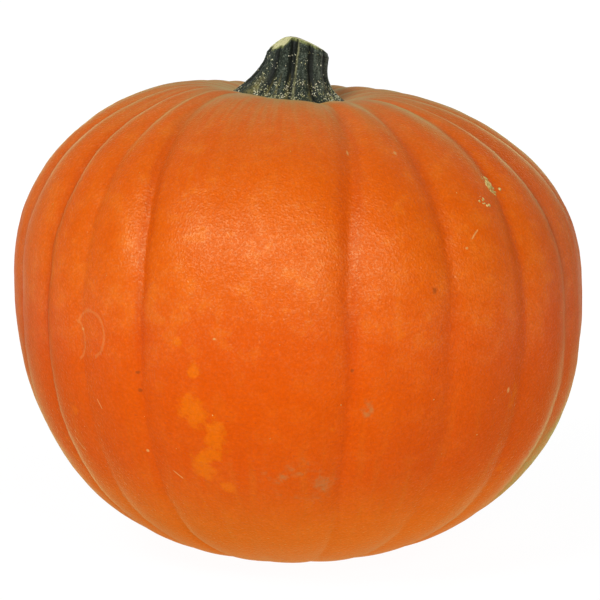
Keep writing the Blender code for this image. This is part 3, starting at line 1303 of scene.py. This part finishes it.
@dataclass(frozen=True)
class StalkFinish:
    """Dark green, dried stem with torn pale flesh on its cut."""

    green: Colour = (0.016, 0.026, 0.015)
    black: Colour = (0.006, 0.008, 0.006)
    grey: Colour = (0.080, 0.105, 0.078)
    dust: Colour = (0.130, 0.155, 0.115)
    olive: Colour = (0.22, 0.19, 0.06)
    vein: Colour = (0.32, 0.32, 0.16)
    flesh: Colour = (0.70, 0.67, 0.34)
    rim: Colour = (0.30, 0.33, 0.10)
    straw: Colour = (0.78, 0.74, 0.36)
    pith: Colour = (0.28, 0.20, 0.10)
    pith_middle: tuple[float, float, float] = (-0.0007, 0.009, 0.0)
    bark_height: float = 0.0006

    def make(self) -> bpy.types.Material:
        """Build the stem's material.

        Returns:
            The material.
        """
        paint = Paint("stalk", self.green)
        x, y, z = paint.split(paint.place)
        height, furrow, cut = paint.read("stem_height"), paint.read("furrow"), paint.read("cut")
        mottle = paint.noise(paint.vector(x, y, z * 0.7), 560.0, 3.0, 0.7)
        grain = paint.noise(paint.vector(x, y, z * 0.12), 900.0, 2.0, 0.6)
        broad = paint.noise(paint.vector(x, y, z * 0.4), 130.0, 1.0)
        speckle = paint.noise(paint.place, 1300.0, 2.0, 0.7)
        low = height.smooth(0.58, 0.15)
        # Upper stem on its +X side, which gets a paler dusty colour.
        plus_x_side = x.smooth(0.003, 0.010) * height.smooth(0.1, 0.4)
        rim = height.smooth(0.94, 0.99) * mottle.smooth(0.35, 0.6)
        corner = x.smooth(0.0125, 0.0085)
        away = paint.vectors("DISTANCE", paint.vector(x, y, 0.0), self.pith_middle, 1)
        paint.coats(
            # Greyer mottled ridges: partly the stem's own colour, partly painted highlight.
            (self.grey, mottle.smooth(0.50, 0.72) * furrow.smooth(0.8, 0.1) * 0.8),
            (self.black, mottle.smooth(0.45, 0.30) * 0.7),
            (self.dust, plus_x_side * mottle.smooth(0.38, 0.6) * 0.65),
            # Near black in the furrows: painted shade.
            (self.black, furrow.smooth(0.25, 1.0) * 0.85),
            (self.black, grain.smooth(0.5, 0.3) * 0.5),
            (self.dust, speckle.smooth(0.54, 0.66) * (furrow.smooth(0.9, 0.2) * 0.7 + 0.1)),
            (self.black, speckle.smooth(0.46, 0.34) * 0.8),
            (self.olive, low * grain.smooth(0.55, 0.72) * broad.smooth(0.42, 0.6) * 0.8),
            (self.olive, paint.read("streak") * low * mottle.smooth(0.35, 0.6) * 0.75),
            (self.vein, paint.read("vein") * height.smooth(-0.2, 0.2) * mottle.smooth(0.3, 0.55) * 0.9),
            (self.rim, rim * corner * 0.7),
            (self.flesh, cut * mottle.smooth(0.2, 0.45) * (corner * 0.8 + 0.2)),
            (self.rim, cut * mottle.smooth(0.52, 0.64) * 0.8),
            (self.straw, cut * speckle.smooth(0.52, 0.60) * 0.6),
            (self.pith, cut * away.smooth(0.006, 0.003) * 0.8),
        )
        paint.relief((mottle - 0.5) * self.bark_height + (grain - 0.5) * self.bark_height)
        return paint.finished(mottle * 0.25 + 0.45, Specular_IOR_Level=0.22)


@dataclass(frozen=True)
class CorkFinish:
    """Matt cork that varies from grain to grain."""

    pale: Colour
    dark: Colour

    def make(self, name: str) -> bpy.types.Material:
        """Build the cork's material.

        Args:
            name: Name of the material.

        Returns:
            The material.
        """
        paint = Paint(name, self.pale)
        paint.coat(self.dark, paint.noise(paint.place, 500.0, 2.0).smooth(0.4, 0.6))
        return paint.finished(0.8, Specular_IOR_Level=0.2)


# --- Studio -------------------------------------------------------------------------------


@dataclass
class Studio:
    """Pale floor, soft lights and the camera."""

    distance: float = 1.2
    elevation: float = math.radians(8.9)
    lens: float = 139.7
    shift: tuple[float, float] = (0.002, -0.0083)
    aim: Vector = field(default_factory=lambda: Vector((-0.0007, 0.0, 0.1352)))
    floor_size: float = 60.0
    floor_colour: Colour = (0.06, 0.06, 0.06)
    lamp_distance: float = 2.0
    lamp_size: tuple[float, float] = (0.6, 0.5)
    key_power: float = 24.5
    fill_power: float = 16.5
    sky_front: float = 0.05
    sky_back: float = 0.9
    floor_glow: float = 0.965
    far_glow: float = 0.06

    def build(self) -> None:
        """Set up the floor, the lights and the camera."""
        self.add_floor()
        self.add_sky()
        self.add_lamp("key", -30.0, 37.0, self.key_power)
        self.add_lamp("fill", 13.0, 27.0, self.fill_power)
        self.add_camera()

    def add_floor(self) -> None:
        """Add the floor."""
        bpy.ops.mesh.primitive_plane_add(size=self.floor_size)
        floor = bpy.context.object
        floor.name = "floor"
        material = bpy.data.materials.new("floor")
        material.use_nodes = True
        shader = material.node_tree.nodes["Principled BSDF"]
        shader.inputs["Base Color"].default_value = (*self.floor_colour, 1.0)
        shader.inputs["Roughness"].default_value = 0.8
        shader.inputs["Specular IOR Level"].default_value = 0.0
        pen = Pen(material.node_tree)
        x, y = pen.split(pen.value(pen.node("ShaderNodeTexCoord").outputs["Object"]))[:2]
        away = (x * x + y * y) ** 0.5
        glow = away.smooth(0.15, 0.9) * self.far_glow + self.floor_glow
        feed(pen.tree, shader.inputs["Emission Strength"], glow)
        shader.inputs["Emission Color"].default_value = (1.0, 1.0, 1.0, 1.0)
        floor.data.materials.append(material)

    def add_sky(self) -> None:
        """Light the scene from all round, brighter from behind than from the front."""
        world = bpy.data.worlds.new("sky")
        bpy.context.scene.world = world
        world.use_nodes = True
        pen = Pen(world.node_tree)
        shader = world.node_tree.nodes["Background"]
        shader.inputs["Color"].default_value = (1.0, 1.0, 1.0, 1.0)
        side, depth = pen.split(pen.value(pen.node("ShaderNodeTexCoord").outputs["Generated"]))[:2]
        back = depth.smooth(0.05, 0.8) * (side.smooth(-0.6, 0.6) * 0.10 + 0.72)
        strength = back * (self.sky_back - self.sky_front) + self.sky_front
        feed(world.node_tree, shader.inputs["Strength"], strength)

    def add_lamp(self, name: str, azimuth: float, height: float, power: float) -> None:
        """Add a soft lamp that points at the fruit.

        Args:
            name: The lamp's name.
            azimuth: Its azimuth in degrees.
            height: Its elevation in degrees.
            power: Power in watts.
        """
        turn, rise = math.radians(azimuth), math.radians(height)
        level = Vector((math.sin(turn), -math.cos(turn), 0.0)) * math.cos(rise)
        away = level + Vector((0.0, 0.0, math.sin(rise)))
        place = self.aim + away * self.lamp_distance
        lamp = bpy.data.lights.new(name, "AREA")
        lamp.shape = "RECTANGLE"
        lamp.size, lamp.size_y = self.lamp_size
        lamp.energy = power
        thing = bpy.data.objects.new(name, lamp)
        thing.location = place
        thing.rotation_euler = (self.aim - place).to_track_quat("-Z", "Y").to_euler()
        bpy.context.scene.collection.objects.link(thing)

    def add_camera(self) -> None:
        """Add the camera."""
        camera = bpy.data.cameras.new("camera")
        camera.lens = self.lens
        camera.sensor_width = 36.0
        camera.shift_x, camera.shift_y = self.shift
        camera.clip_end = 100.0
        thing = bpy.data.objects.new("camera", camera)
        away = Vector((0.0, -math.cos(self.elevation), math.sin(self.elevation))) * self.distance
        thing.location = self.aim + away
        thing.rotation_euler = (math.pi / 2.0 - self.elevation, 0.0, 0.0)
        bpy.context.scene.collection.objects.link(thing)
        bpy.context.scene.camera = thing
        bpy.context.scene.view_settings.view_transform = "Standard"


def main() -> None:
    """Build the pumpkin and the studio."""
    Studio().build()
    fruit = Fruit().build(RindFinish().make())
    stem = Stem().build(fruit, StalkFinish().make())
    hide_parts("fruit")
    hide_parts("stem")
    specks = CorkFinish((0.70, 0.69, 0.50), (0.34, 0.34, 0.15)).make("pale_cork")
    scabs = CorkFinish((0.62, 0.46, 0.17), (0.44, 0.30, 0.08)).make("tan_cork")
    grains = Grains()
    settle(fruit)
    settle(stem)
    settle(grains.specks(stem, specks))
    settle(grains.scabs(fruit, scabs))


if __name__ == "__main__":
    main()
